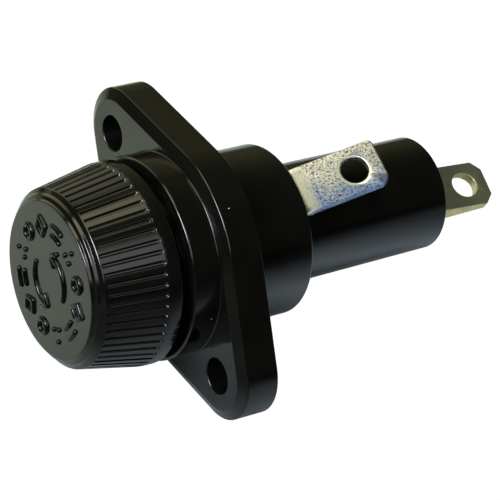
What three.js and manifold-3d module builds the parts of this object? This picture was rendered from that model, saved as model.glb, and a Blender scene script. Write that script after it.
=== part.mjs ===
// Panel-mount holder for one 13/32 x 1-1/2 inch (10.3 x 38.1 mm) cartridge fuse.
//
// Frame, in millimetres: the fuse lies on the Z axis. z = 0 is the flange's rear face, which seats
// on the front of the panel. +Z runs out through the knob. X runs through the two screw holes. The
// side terminal is on the -Y side. Both terminals are turned a few degrees from the flange.
//
// A moulded body carries a threaded sleeve in its mouth and a terminal at each contact. The knob
// screws into the sleeve with a metal shell, and a clip riveted to the knob draws the fuse out.

import * as THREE from 'three';
import { mergeVertices } from 'three/addons/utils/BufferGeometryUtils.js';
import Module from 'manifold-3d';

const wasm = await Module();
wasm.setup();

// ---------------------------------------------------------------- driving dimensions

const GAP = 0.3; // clearance left between separate pieces that meet

// Flange: a central disc and two tip discs joined by straight tangents.
const FLANGE_THICKNESS = 5.7;
const FLANGE_DISC_R = 16.25;
const FLANGE_TIP_R = 6.95;
const FLANGE_TIP_X = 18.45;
const FLANGE_BEVEL_WIDTH = 1.6;
const FLANGE_BEVEL_DEPTH = 0.8;
const SCREW_HOLE_X = 19.05;
const SCREW_HOLE_R = 2.58;

// Body turned about the fuse axis.
const COLLAR_FRONT_Z = 9.9;
const COLLAR_R = 14.4;
const COLLAR_EDGE = 0.5;
const SHOULDER_R = 12.25;
const SHOULDER_REAR_Z = -11.15;
const SHOULDER_EDGE = 0.7;
const BARREL_FRONT_R = 8.5;
const BARREL_REAR_R = 8.27;
const BARREL_REAR_Z = -37.4;
const BARREL_EDGE = 0.35;
const REAR_WALL = 3.0;
const FUSE_BORE_R = 5.8;
const MOUTH_BORE_R = 8.7;
const MOUTH_FLOOR_Z = -8.5;
const LIP_RECESS_R = 9.5;
const LIP_RECESS_DEPTH = 1.3;

// Threaded sleeve in the mouth.
const SLEEVE_R = MOUTH_BORE_R - GAP;
const SLEEVE_CREST_R = 7.6;
const SLEEVE_ROOT_R = 7.95;
const SLEEVE_LIP_R = 9.2;
const SLEEVE_TOP_Z = 9.6;
const SLEEVE_LIP_THICKNESS = 0.7;
const SLEEVE_BOTTOM_Z = MOUTH_FLOOR_Z + GAP;
const THREAD_PITCH = 2.4;
const THREAD_TOP_Z = 8.2;
const THREAD_RINGS = 4;

// Knob.
const KNOB_FACE_Z = 23.9;
const KNOB_FACE_R = 10.9;
const KNOB_EDGE_R = 11.65;
const KNOB_EDGE_Z = 23.4;
const KNOB_SHOULDER_R = 12.57;
const KNOB_SHOULDER_Z = 22.35;
const KNOB_FLARE_R = 14.25;
const KNOB_FLARE_Z = 13.85;
const KNOB_REAR_Z = 11.5;
const KNOB_REAR_R = 14.35;
const KNOB_REAR_EDGE = 0.45;
const KNOB_BOSS_R = 11.0;
const KNOB_BORE_R = 7.6;
const KNOB_BORE_FLOOR_Z = 20.6;
const RIVET_POCKET_R = 2.9;
const RIVET_POCKET_FLOOR_Z = 21.8;
const FLUTE_COUNT = 60;
const FLUTE_FRONT_Z = 22.3;
const FLUTE_REAR_Z = 13.9;
const FLUTE_WIDTH = 0.5;
const FLUTE_DEPTH = 0.35;

// Knob shell, clip and rivet.
const SHELL_R = SLEEVE_CREST_R - GAP;
const SHELL_ROOT_R = 6.95;
const SHELL_BORE_R = 6.3;
const SHELL_TOP_Z = KNOB_BORE_FLOOR_Z - GAP;
const SHELL_FLOOR_Z = 19.5;
const SHELL_BOTTOM_Z = -1.0;
const RIVET_SHAFT_R = 1.2;
const RIVET_HEAD_R = 2.4;
const RIVET_HEAD_THICKNESS = 0.5;
const CLIP_TOP_Z = SHELL_FLOOR_Z - GAP;
const CLIP_BASE_THICKNESS = 0.6;
const CLIP_BOTTOM_Z = 7.6;
const CLIP_BORE_R = 5.45;
const CLIP_R = 5.85;
const CLIP_SLOT_WIDTH = 1.6;

// Cartridge fuse.
const FUSE_LENGTH = 38.1;
const FUSE_R = 5.16;
const FUSE_TOP_Z = 17.5;
const FERRULE_LENGTH = 9.5;
const FERRULE_WALL = 0.4;
const FERRULE_END = 0.5;
const TUBE_WALL = 0.9;
const ELEMENT_WIDTH = 2.4;
const ELEMENT_THICKNESS = 0.3;
const ELEMENT_NECK_WIDTH = 0.8;
const ELEMENT_NECKS = 3;

// Sprung contact at the rear end of the fuse.
const PLUNGER_R = FUSE_BORE_R - 0.4;
const PLUNGER_THICKNESS = 1.0;
const PLUNGER_STEM_R = 2.6;
const PLUNGER_STEM_LENGTH = 3.2;
const SPRING_MEAN_R = 4.1;
const SPRING_WIRE_R = 0.45;
const SPRING_TURNS = 5;

// Terminals: plain strips, each with one screw hole. They are laid out square to the flange and
// then turned together about the fuse axis.
const TERMINAL_TURN = 4.2; // degrees about +Z
const TERMINAL_WIDTH = 7.1;
const TERMINAL_HOLE_R = 2.0;
const SIDE_THICKNESS = 1.2;
const SIDE_LEG_TOP_Z = -3.2;
const SIDE_LEG_OUTER_Y = MOUTH_BORE_R + SIDE_THICKNESS;
const SIDE_BEND_Z = -12.41;
const SIDE_BEND_R = 2.5;
const SIDE_TILT = THREE.MathUtils.degToRad(18.9);
const SIDE_TIP_LENGTH = 12.8;
const SIDE_HOLE_DISTANCE = 8.67;
const SIDE_CORNER_R = 1.2;
const SIDE_RIVET_Z = -5.5;
const SIDE_RIVET_HEAD_R = 1.4;
const SIDE_RIVET_SHAFT_R = 0.8;
const END_THICKNESS = 1.5;
const END_TIP_LENGTH = 12.75;
const END_HOLE_DISTANCE = 8.75;
const END_CHAMFER = 1.42;
const END_LEAN = 4; // degrees about +Y, outside the barrel
const END_FLARE = 1.05; // extra width behind at the root, on the -X side only
const END_CENTRE_X = -0.48;
const END_FRONT_Y = -0.74;
const END_FOOT_R = 5.3;
const END_FOOT_THICKNESS = 1.2;
const END_ROOT_RELIEF = 0.1; // thinner on each face inside the wall and just below it
const END_ROOT_LENGTH = 0.3;

// Facets round a full turn.
const FACETS_LARGE = 60;
const FACETS_MEDIUM = 40;
const FACETS_SMALL = 20;

// Heights that follow from the ones above.
const FUSE_BOTTOM_Z = FUSE_TOP_Z - FUSE_LENGTH;
const FUSE_CENTRE_Z = (FUSE_TOP_Z + FUSE_BOTTOM_Z) / 2;
const PLUNGER_TOP_Z = FUSE_BOTTOM_Z - GAP;
const REAR_WALL_Z = BARREL_REAR_Z + REAR_WALL;
const FOOT_TOP_Z = REAR_WALL_Z + GAP + END_FOOT_THICKNESS;

// ---------------------------------------------------------------- solids

// The solid enclosed by a closed geometry, whichever way its faces were wound.
function solidOf(geometry) {
  const bare = new THREE.BufferGeometry();
  bare.setAttribute('position', geometry.getAttribute('position'));
  bare.setIndex(geometry.getIndex());
  const merged = mergeVertices(bare, 1e-4);
  const triVerts = Uint32Array.from(merged.getIndex().array);
  const mesh = { numProp: 3, vertProperties: merged.getAttribute('position').array, triVerts };
  const solid = new wasm.Manifold(new wasm.Mesh(mesh));
  if (solid.volume() >= 0) {
    return solid;
  }
  for (let i = 0; i < triVerts.length; i += 3) {
    [triVerts[i + 1], triVerts[i + 2]] = [triVerts[i + 2], triVerts[i + 1]];
  }
  return new wasm.Manifold(new wasm.Mesh(mesh));
}

// A geometry for the surface of a solid.
function geometryOf(solid) {
  const { vertProperties, triVerts } = solid.getMesh();
  const geometry = new THREE.BufferGeometry();
  geometry.setAttribute('position', new THREE.BufferAttribute(vertProperties, 3));
  geometry.setIndex(new THREE.BufferAttribute(triVerts, 1));
  geometry.computeVertexNormals();
  return geometry;
}

// A solid of revolution about Z, from [radius, z] pairs. The profile starts and ends on the axis
// or, for a ring, is closed by repeating its first point.
function turned(profile, facets) {
  const points = profile.map(([radius, z]) => new THREE.Vector2(radius, z));
  return solidOf(new THREE.LatheGeometry(points, facets).rotateX(Math.PI / 2));
}

// The same for a ring, whose profile closes on itself.
function turnedRing(profile, facets) {
  return turned([...profile, profile[0]], facets);
}

function cylinder(radius, bottomZ, topZ, facets) {
  return turned([[0, bottomZ], [radius, bottomZ], [radius, topZ], [0, topZ]], facets);
}

// A block from its low corner to its high corner.
function block(low, high) {
  const size = high.map((value, axis) => value - low[axis]);
  const centre = high.map((value, axis) => (value + low[axis]) / 2);
  return solidOf(new THREE.BoxGeometry(...size).translate(...centre));
}

// A flat shape in the XY plane, extruded from z = bottom to z = top.
function slab(shape, bottom, top, curveSegments = 12) {
  const options = { depth: top - bottom, bevelEnabled: false, curveSegments };
  return solidOf(new THREE.ExtrudeGeometry(shape, options).translate(0, 0, bottom));
}

// Points of a quarter-ellipse edge that starts at one angle and ends at another, both in degrees
// from the outward radial direction towards +Z.
function edgeArc(radius, z, radialSize, axialSize, from, to, steps) {
  const points = [];
  for (let i = 0; i <= steps; i += 1) {
    const angle = THREE.MathUtils.degToRad(from + ((to - from) * i) / steps);
    points.push([radius + radialSize * Math.cos(angle), z + axialSize * Math.sin(angle)]);
  }
  return points;
}

// Rings of rolled thread, as [radius, z] pairs from the top down.
function threadRings(crest, root, top) {
  const points = [];
  for (let i = 0; i < THREAD_RINGS; i += 1) {
    const z = top - i * THREAD_PITCH;
    points.push([root, z], [crest, z - 0.3 * THREAD_PITCH]);
    points.push([crest, z - 0.5 * THREAD_PITCH], [root, z - 0.8 * THREAD_PITCH]);
  }
  return points;
}

// ---------------------------------------------------------------- moulded body

function flangeOutline() {
  const lean = Math.acos((FLANGE_DISC_R - FLANGE_TIP_R) / FLANGE_TIP_X);
  const shape = new THREE.Shape();
  shape.absarc(FLANGE_TIP_X, 0, FLANGE_TIP_R, -lean, lean);
  shape.absarc(0, 0, FLANGE_DISC_R, lean, Math.PI - lean);
  shape.absarc(-FLANGE_TIP_X, 0, FLANGE_TIP_R, Math.PI - lean, Math.PI + lean);
  shape.absarc(0, 0, FLANGE_DISC_R, Math.PI + lean, 2 * Math.PI - lean);
  return shape;
}

// The flange plate, bevelled round its front edge only: the bevel that the extrusion also makes
// at the far end lies below z = 0 and is cut away.
function flangePlate() {
  const below = 3;
  const plate = new THREE.ExtrudeGeometry(flangeOutline(), {
    depth: FLANGE_THICKNESS + below - 2 * FLANGE_BEVEL_DEPTH,
    bevelEnabled: true,
    bevelThickness: FLANGE_BEVEL_DEPTH,
    bevelSize: FLANGE_BEVEL_WIDTH,
    bevelOffset: -FLANGE_BEVEL_WIDTH,
    bevelSegments: 1,
    curveSegments: 9,
  }).translate(0, 0, FLANGE_BEVEL_DEPTH - below);
  const reach = FLANGE_TIP_X + 2 * FLANGE_TIP_R;
  return solidOf(plate).subtract(block([-reach, -reach, -2 * below], [reach, reach, 0]));
}

function bodySolid() {
  const outside = turned([
    [0, COLLAR_FRONT_Z],
    ...edgeArc(COLLAR_R - COLLAR_EDGE, COLLAR_FRONT_Z - COLLAR_EDGE,
      COLLAR_EDGE, COLLAR_EDGE, 90, 0, 3),
    [COLLAR_R, 0],
    [SHOULDER_R, 0],
    ...edgeArc(SHOULDER_R - SHOULDER_EDGE, SHOULDER_REAR_Z + SHOULDER_EDGE,
      SHOULDER_EDGE, SHOULDER_EDGE, 0, -90, 3),
    [BARREL_FRONT_R, SHOULDER_REAR_Z],
    ...edgeArc(BARREL_REAR_R - BARREL_EDGE, BARREL_REAR_Z + BARREL_EDGE,
      BARREL_EDGE, BARREL_EDGE, 0, -90, 2),
    [0, BARREL_REAR_Z],
  ], FACETS_LARGE);
  const inside = turned([
    [0, COLLAR_FRONT_Z + 1],
    [LIP_RECESS_R, COLLAR_FRONT_Z + 1],
    [LIP_RECESS_R, COLLAR_FRONT_Z - LIP_RECESS_DEPTH],
    [MOUTH_BORE_R, COLLAR_FRONT_Z - LIP_RECESS_DEPTH],
    [MOUTH_BORE_R, MOUTH_FLOOR_Z],
    [FUSE_BORE_R, MOUTH_FLOOR_Z],
    [FUSE_BORE_R, REAR_WALL_Z],
    [0, REAR_WALL_Z],
  ], FACETS_LARGE);
  let body = outside.add(flangePlate()).subtract(inside);
  for (const x of [-SCREW_HOLE_X, SCREW_HOLE_X]) {
    const hole = cylinder(SCREW_HOLE_R, -1, FLANGE_THICKNESS + 1, FACETS_SMALL);
    body = body.subtract(hole.translate([x, 0, 0]));
  }
  return body
    .subtract(sideTerminalSlot())
    .subtract(endTerminalSlot());
}

// Slot for the side terminal's leg, with a pocket over its rivet.
function sideTerminalSlot() {
  const halfWidth = TERMINAL_WIDTH / 2 + GAP;
  const outerY = SIDE_LEG_OUTER_Y + GAP;
  const slot = block(
    [-halfWidth, -outerY, SHOULDER_REAR_Z - 1],
    [halfWidth, -MOUTH_BORE_R + GAP, SIDE_LEG_TOP_Z + GAP],
  );
  const pocketReach = SIDE_RIVET_HEAD_R + GAP;
  const pocket = block(
    [-pocketReach, -outerY - RIVET_HEAD_THICKNESS - GAP, SIDE_RIVET_Z - pocketReach],
    [pocketReach, -outerY + GAP, SIDE_RIVET_Z + pocketReach],
  );
  return slot.add(pocket).rotate([0, 0, TERMINAL_TURN]);
}

// Slot in the rear wall for the end terminal's blade.
function endTerminalSlot() {
  const halfWidth = TERMINAL_WIDTH / 2 + GAP;
  return block(
    [END_CENTRE_X - halfWidth, END_FRONT_Y - GAP, BARREL_REAR_Z - 1],
    [END_CENTRE_X + halfWidth, END_FRONT_Y + END_THICKNESS + GAP, REAR_WALL_Z + 1],
  ).rotate([0, 0, TERMINAL_TURN]);
}

function sleeveSolid() {
  const sleeve = turnedRing([
    [SLEEVE_CREST_R, SLEEVE_TOP_Z],
    ...threadRings(SLEEVE_CREST_R, SLEEVE_ROOT_R, THREAD_TOP_Z),
    [SLEEVE_ROOT_R, SLEEVE_BOTTOM_Z],
    [SLEEVE_R, SLEEVE_BOTTOM_Z],
    [SLEEVE_R, SLEEVE_TOP_Z - SLEEVE_LIP_THICKNESS],
    [SLEEVE_LIP_R, SLEEVE_TOP_Z - SLEEVE_LIP_THICKNESS],
    [SLEEVE_LIP_R, SLEEVE_TOP_Z],
  ], FACETS_MEDIUM);
  const rivetHole = cylinder(SIDE_RIVET_SHAFT_R + GAP, 0, SLEEVE_LIP_R + 1, FACETS_SMALL);
  return sleeve.subtract(
    rivetHole.rotate([90, 0, TERMINAL_TURN]).translate([0, 0, SIDE_RIVET_Z]),
  );
}

// ---------------------------------------------------------------- terminals

// Side terminal, in its own frame: x runs down the body, y away from the fuse axis and z across
// the strip. The leg is straight, then the strip bends away from the barrel.
function sideTerminalSolid() {
  const legStart = -SIDE_LEG_TOP_Z;
  const bendAt = -SIDE_BEND_Z;
  const run = SIDE_BEND_R * Math.tan(SIDE_TILT / 2);
  const steps = 4;
  const outer = [[legStart, SIDE_LEG_OUTER_Y]];
  const inner = [[legStart, SIDE_LEG_OUTER_Y - SIDE_THICKNESS]];
  for (let i = 0; i <= steps; i += 1) {
    const angle = (SIDE_TILT * i) / steps;
    const [along, away] = [bendAt - run, SIDE_LEG_OUTER_Y + SIDE_BEND_R];
    for (const [side, radius] of [[outer, SIDE_BEND_R], [inner, SIDE_BEND_R + SIDE_THICKNESS]]) {
      side.push([along + radius * Math.sin(angle), away - radius * Math.cos(angle)]);
    }
  }
  const [cos, sin] = [Math.cos(SIDE_TILT), Math.sin(SIDE_TILT)];
  const tip = [bendAt + SIDE_TIP_LENGTH * cos, SIDE_LEG_OUTER_Y + SIDE_TIP_LENGTH * sin];
  outer.push(tip);
  inner.push([tip[0] + SIDE_THICKNESS * sin, tip[1] - SIDE_THICKNESS * cos]);
  const outline = [...outer, ...inner.reverse()].map(([x, y]) => new THREE.Vector2(x, y));
  const half = TERMINAL_WIDTH / 2;
  let strip = slab(new THREE.Shape(outline), -half, half);

  // Round the free end and bore the hole square to the bent blade.
  const toBlade = new THREE.Matrix4()
    .makeTranslation(bendAt, SIDE_LEG_OUTER_Y, 0)
    .multiply(new THREE.Matrix4().makeRotationZ(SIDE_TILT))
    .multiply(new THREE.Matrix4().makeRotationX(Math.PI / 2));
  const plan = new THREE.Shape();
  const square = SIDE_TIP_LENGTH - SIDE_CORNER_R;
  plan.moveTo(-2 * SIDE_TIP_LENGTH, -half - 1);
  plan.lineTo(square - SIDE_CORNER_R, -half - 1);
  plan.lineTo(square - SIDE_CORNER_R, -half);
  plan.absarc(square, -half + SIDE_CORNER_R, SIDE_CORNER_R, -Math.PI / 2, 0);
  plan.absarc(square, half - SIDE_CORNER_R, SIDE_CORNER_R, 0, Math.PI / 2);
  plan.lineTo(square - SIDE_CORNER_R, half);
  plan.lineTo(square - SIDE_CORNER_R, half + 1);
  plan.lineTo(-2 * SIDE_TIP_LENGTH, half + 1);
  const depth = 4 * SIDE_TIP_LENGTH;
  const keep = new THREE.ExtrudeGeometry(plan, { depth, bevelEnabled: false, curveSegments: 4 });
  strip = strip.intersect(solidOf(keep.translate(0, 0, -depth / 2).applyMatrix4(toBlade)));
  const drill = new THREE.CylinderGeometry(TERMINAL_HOLE_R, TERMINAL_HOLE_R, 8, FACETS_SMALL);
  drill.rotateX(Math.PI / 2).translate(SIDE_HOLE_DISTANCE, 0, 0).applyMatrix4(toBlade);
  const rivetDrill = new THREE.CylinderGeometry(
    SIDE_RIVET_SHAFT_R + GAP, SIDE_RIVET_SHAFT_R + GAP, 8, FACETS_SMALL,
  );
  rivetDrill.translate(-SIDE_RIVET_Z, SIDE_LEG_OUTER_Y, 0);
  return strip.subtract(solidOf(drill)).subtract(solidOf(rivetDrill));
}

// Rivet through the side terminal's leg and the sleeve, along its own z with the outer head on
// top; z = 0 is the fuse axis.
function sideRivetSolid() {
  const outerSeat = SIDE_LEG_OUTER_Y + GAP;
  const innerSeat = SLEEVE_CREST_R - GAP;
  return turned([
    [0, innerSeat - RIVET_HEAD_THICKNESS],
    [SIDE_RIVET_HEAD_R - 0.3, innerSeat - RIVET_HEAD_THICKNESS],
    [SIDE_RIVET_HEAD_R, innerSeat],
    [SIDE_RIVET_SHAFT_R, innerSeat],
    [SIDE_RIVET_SHAFT_R, outerSeat],
    [SIDE_RIVET_HEAD_R, outerSeat],
    [SIDE_RIVET_HEAD_R - 0.3, outerSeat + RIVET_HEAD_THICKNESS],
    [0, outerSeat + RIVET_HEAD_THICKNESS],
  ], FACETS_SMALL);
}

// The blade of the end terminal, from the middle of its root: x runs across it, its front face is
// at y = 0 and z = 0 is its top. Its -X side is sheared at a slant that fades out towards the tip.
function endBlade() {
  const half = TERMINAL_WIDTH / 2;
  const tip = -END_TIP_LENGTH;
  const shape = new THREE.Shape();
  shape.moveTo(-half, 0);
  shape.lineTo(-half, tip + END_CHAMFER);
  shape.lineTo(-half + END_CHAMFER, tip);
  shape.lineTo(half - END_CHAMFER, tip);
  shape.lineTo(half, tip + END_CHAMFER);
  shape.lineTo(half, 0);
  const hole = new THREE.Path();
  hole.absarc(0, -END_HOLE_DISTANCE, TERMINAL_HOLE_R, 0, 2 * Math.PI, true);
  shape.holes.push(hole);
  const slantCorners = [
    [-half, 0, 0],
    [-half + 1, END_THICKNESS, 0],
    [-half - END_FLARE, END_THICKNESS, 0],
    [-half, END_THICKNESS, tip + END_CHAMFER],
  ];
  const slant = new THREE.BufferGeometry();
  slant.setAttribute('position', new THREE.Float32BufferAttribute(slantCorners.flat(), 3));
  slant.setIndex([0, 1, 2, 0, 2, 3, 0, 3, 1, 1, 3, 2]);
  return slab(shape, -END_THICKNESS, 0, 7).rotate([90, 0, 0]).add(solidOf(slant));
}

// End terminal: a round foot inside the barrel and a blade that leans outside it. The root between
// them is a little thinner than the blade, so it slides into the rear wall's slot.
function endTerminalSolid() {
  const half = TERMINAL_WIDTH / 2;
  const outside = block(
    [-2 * half, -1, -2 * END_TIP_LENGTH],
    [2 * half, END_THICKNESS + 1, -END_ROOT_LENGTH],
  );
  const root = block(
    [-half, END_ROOT_RELIEF, -END_ROOT_LENGTH - END_ROOT_RELIEF],
    [half, END_THICKNESS - END_ROOT_RELIEF, REAR_WALL + GAP + END_FOOT_THICKNESS / 2],
  );
  const foot = cylinder(END_FOOT_R, FOOT_TOP_Z - END_FOOT_THICKNESS, FOOT_TOP_Z, FACETS_MEDIUM);
  return endBlade()
    .rotate([0, END_LEAN, 0])
    .intersect(outside)
    .add(root)
    .translate([END_CENTRE_X, END_FRONT_Y, BARREL_REAR_Z])
    .add(foot);
}

// ---------------------------------------------------------------- sprung contact

// A plunger that bears on the fuse, from its face down; z = 0 is the face.
function plungerSolid() {
  return turned([
    [0, 0],
    [PLUNGER_R - 0.4, 0],
    [PLUNGER_R, -0.4],
    [PLUNGER_R, -PLUNGER_THICKNESS],
    [PLUNGER_STEM_R, -PLUNGER_THICKNESS],
    [PLUNGER_STEM_R, -PLUNGER_THICKNESS - PLUNGER_STEM_LENGTH],
    [0, -PLUNGER_THICKNESS - PLUNGER_STEM_LENGTH],
  ], FACETS_MEDIUM);
}

class Helix extends THREE.Curve {
  constructor(radius, height, turns) {
    super();
    this.radius = radius;
    this.height = height;
    this.turns = turns;
  }

  getPoint(t, target = new THREE.Vector3()) {
    const angle = 2 * Math.PI * this.turns * t;
    const [x, y] = [this.radius * Math.cos(angle), this.radius * Math.sin(angle)];
    return target.set(x, y, this.height * t);
  }
}

// A coil spring on z, standing on z = 0 and of the given height.
function springSolid(height) {
  const wire = new THREE.Shape();
  wire.absarc(0, 0, SPRING_WIRE_R, 0, 2 * Math.PI);
  const path = new Helix(SPRING_MEAN_R, height - 2 * SPRING_WIRE_R, SPRING_TURNS);
  const geometry = new THREE.ExtrudeGeometry(wire, {
    steps: 14 * SPRING_TURNS,
    curveSegments: 3,
    bevelEnabled: false,
    extrudePath: path,
  });
  return solidOf(geometry.translate(0, 0, SPRING_WIRE_R));
}

// ---------------------------------------------------------------- knob, shell, clip and rivet

function knobSolid() {
  const blank = turned([
    [0, KNOB_FACE_Z],
    [KNOB_FACE_R, KNOB_FACE_Z],
    [KNOB_EDGE_R, KNOB_EDGE_Z],
    [KNOB_SHOULDER_R, KNOB_SHOULDER_Z],
    [KNOB_FLARE_R, KNOB_FLARE_Z],
    [KNOB_REAR_R, KNOB_REAR_Z + KNOB_REAR_EDGE],
    [KNOB_REAR_R - KNOB_REAR_EDGE, KNOB_REAR_Z],
    [KNOB_BOSS_R, KNOB_REAR_Z],
    [KNOB_BOSS_R, COLLAR_FRONT_Z + GAP],
    [KNOB_BORE_R, COLLAR_FRONT_Z + GAP],
    [KNOB_BORE_R, KNOB_BORE_FLOOR_Z],
    [RIVET_POCKET_R, KNOB_BORE_FLOOR_Z],
    [RIVET_POCKET_R, RIVET_POCKET_FLOOR_Z],
    [0, RIVET_POCKET_FLOOR_Z],
  ], FACETS_LARGE);

  // One flute cutter lies along the flared side at angle 0 and is turned to each place.
  const flare = Math.atan(
    (KNOB_FLARE_R - KNOB_SHOULDER_R) / (KNOB_SHOULDER_Z - KNOB_FLARE_Z),
  );
  const length = (FLUTE_FRONT_Z - FLUTE_REAR_Z) / Math.cos(flare);
  const midZ = (FLUTE_FRONT_Z + FLUTE_REAR_Z) / 2;
  const midR = KNOB_FLARE_R - (midZ - KNOB_FLARE_Z) * Math.tan(flare);
  const cutter = new THREE.BoxGeometry(2, FLUTE_WIDTH, length)
    .translate(1 - FLUTE_DEPTH, 0, 0)
    .rotateY(-flare)
    .translate(midR, 0, midZ);
  const flute = solidOf(cutter);
  let knob = blank;
  for (let i = 0; i < FLUTE_COUNT; i += 1) {
    knob = knob.subtract(flute.rotate([0, 0, (360 * (i + 0.5)) / FLUTE_COUNT]));
  }
  return knob;
}

function knobShellSolid() {
  return turnedRing([
    [SHELL_ROOT_R, SHELL_TOP_Z],
    ...threadRings(SHELL_R, SHELL_ROOT_R, THREAD_TOP_Z),
    [SHELL_ROOT_R, SHELL_BOTTOM_Z],
    [SHELL_BORE_R, SHELL_BOTTOM_Z],
    [SHELL_BORE_R, SHELL_FLOOR_Z],
    [RIVET_SHAFT_R + GAP, SHELL_FLOOR_Z],
    [RIVET_SHAFT_R + GAP, SHELL_TOP_Z],
  ], FACETS_MEDIUM);
}

// Spring clip: a cup split into four fingers that grip the front ferrule.
function fuseClipSolid() {
  const base = CLIP_TOP_Z - CLIP_BASE_THICKNESS;
  const cup = turnedRing([
    [RIVET_SHAFT_R + GAP, CLIP_TOP_Z],
    [CLIP_R, CLIP_TOP_Z],
    [CLIP_R, CLIP_BOTTOM_Z + 1],
    [CLIP_R + 0.2, CLIP_BOTTOM_Z],
    [CLIP_BORE_R + 0.2, CLIP_BOTTOM_Z],
    [CLIP_BORE_R, CLIP_BOTTOM_Z + 1],
    [CLIP_BORE_R, base],
    [RIVET_SHAFT_R + GAP, base],
  ], FACETS_MEDIUM);
  const reach = CLIP_R + 1;
  const half = CLIP_SLOT_WIDTH / 2;
  const [low, high] = [CLIP_BOTTOM_Z - 1, base - 0.4];
  return cup
    .subtract(block([-reach, -half, low], [reach, half, high]))
    .subtract(block([-half, -reach, low], [half, reach, high]));
}

function clipRivetSolid() {
  const lowerSeat = CLIP_TOP_Z - CLIP_BASE_THICKNESS - GAP;
  const upperSeat = SHELL_TOP_Z + GAP;
  return turned([
    [0, lowerSeat - RIVET_HEAD_THICKNESS],
    [RIVET_HEAD_R - 0.3, lowerSeat - RIVET_HEAD_THICKNESS],
    [RIVET_HEAD_R, lowerSeat],
    [RIVET_SHAFT_R, lowerSeat],
    [RIVET_SHAFT_R, upperSeat],
    [RIVET_HEAD_R, upperSeat],
    [RIVET_HEAD_R - 0.3, upperSeat + RIVET_HEAD_THICKNESS],
    [0, upperSeat + RIVET_HEAD_THICKNESS],
  ], FACETS_SMALL);
}

// ---------------------------------------------------------------- cartridge fuse

// A ferrule standing on its closed end: z = 0 is the end face.
function ferruleSolid() {
  return turned([
    [0, 0],
    [FUSE_R - 0.3, 0],
    [FUSE_R, 0.3],
    [FUSE_R, FERRULE_LENGTH],
    [FUSE_R - FERRULE_WALL, FERRULE_LENGTH],
    [FUSE_R - FERRULE_WALL, FERRULE_END],
    [0, FERRULE_END],
  ], FACETS_MEDIUM);
}

// The tube between the ferrules' closed ends, centred on z = 0.
function fuseTubeSolid() {
  const outer = FUSE_R - FERRULE_WALL - GAP;
  const half = FUSE_LENGTH / 2 - FERRULE_END - GAP;
  return turnedRing([
    [outer, half],
    [outer, -half],
    [outer - TUBE_WALL, -half],
    [outer - TUBE_WALL, half],
  ], FACETS_MEDIUM);
}

// A strip with evenly spaced necks, centred on z = 0.
function fuseElementSolid() {
  const half = FUSE_LENGTH / 2 - FERRULE_END - GAP;
  const side = [[ELEMENT_WIDTH / 2, -half]];
  const spacing = (2 * half) / (ELEMENT_NECKS + 1);
  for (let i = 1; i <= ELEMENT_NECKS; i += 1) {
    const z = -half + i * spacing;
    side.push([ELEMENT_WIDTH / 2, z - 0.8], [ELEMENT_NECK_WIDTH / 2, z]);
    side.push([ELEMENT_WIDTH / 2, z + 0.8]);
  }
  side.push([ELEMENT_WIDTH / 2, half]);
  const other = side.map(([x, z]) => [-x, z]).reverse();
  const outline = [...side, ...other].map(([x, z]) => new THREE.Vector2(x, z));
  return slab(new THREE.Shape(outline), -ELEMENT_THICKNESS / 2, ELEMENT_THICKNESS / 2);
}

// ---------------------------------------------------------------- materials

function material(color, roughness, metalness) {
  return new THREE.MeshStandardMaterial({ color, roughness, metalness });
}

const phenolic = material(0x0d0e0d, 0.28, 0);
const brightTin = material(0xc9cbc6, 0.32, 1);
const dullBrass = material(0x8f8a63, 0.4, 1);
const brass = material(0xb59a55, 0.35, 1);
const springSteel = material(0x9a9a98, 0.3, 1);
const nickel = material(0xb9b6ad, 0.3, 1);
const fibre = material(0xc8bfa8, 0.7, 0);
const zinc = material(0x8d9296, 0.45, 1);

// ---------------------------------------------------------------- assembly

function piece(name, solid, look) {
  const mesh = new THREE.Mesh(geometryOf(solid), look);
  mesh.name = name;
  return mesh;
}

// Pieces that stay on the panel.
const holder = new THREE.Group();
holder.add(piece('body', bodySolid(), phenolic));
holder.add(piece('thread_sleeve', sleeveSolid(), brass));

// Both terminals and the side one's rivet, turned together.
const terminals = new THREE.Group();
terminals.rotation.z = THREE.MathUtils.degToRad(TERMINAL_TURN);
holder.add(terminals);

const sideTerminal = piece('side_terminal', sideTerminalSolid(), brightTin);
sideTerminal.quaternion.setFromRotationMatrix(new THREE.Matrix4().makeBasis(
  new THREE.Vector3(0, 0, -1),
  new THREE.Vector3(0, -1, 0),
  new THREE.Vector3(-1, 0, 0),
));
terminals.add(sideTerminal);

const sideRivet = piece('side_terminal_rivet', sideRivetSolid(), brass);
sideRivet.rotation.x = Math.PI / 2;
sideRivet.position.z = SIDE_RIVET_Z;
terminals.add(sideRivet);

terminals.add(piece('end_terminal', endTerminalSolid(), dullBrass));

// Spring and plunger behind the fuse.
const plunger = piece('contact_plunger', plungerSolid(), brass);
plunger.position.z = PLUNGER_TOP_Z;
const springTop = PLUNGER_TOP_Z - PLUNGER_THICKNESS - GAP;
const springBottom = FOOT_TOP_Z + GAP;
const spring = piece('contact_spring', springSolid(springTop - springBottom), springSteel);
spring.position.z = springBottom;
holder.add(plunger, spring);

// The fuse, about its own centre.
const fuse = new THREE.Group();
fuse.position.z = FUSE_CENTRE_Z;
fuse.add(piece('fuse_tube', fuseTubeSolid(), fibre));
const rearFerrule = piece('fuse_ferrule_rear', ferruleSolid(), nickel);
rearFerrule.position.z = -FUSE_LENGTH / 2;
const frontFerrule = piece('fuse_ferrule_front', ferruleSolid(), nickel);
frontFerrule.position.z = FUSE_LENGTH / 2;
frontFerrule.rotation.x = Math.PI;
const element = piece('fuse_element', fuseElementSolid(), zinc);
element.rotation.x = Math.PI / 2;
fuse.add(rearFerrule, frontFerrule, element);

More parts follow.
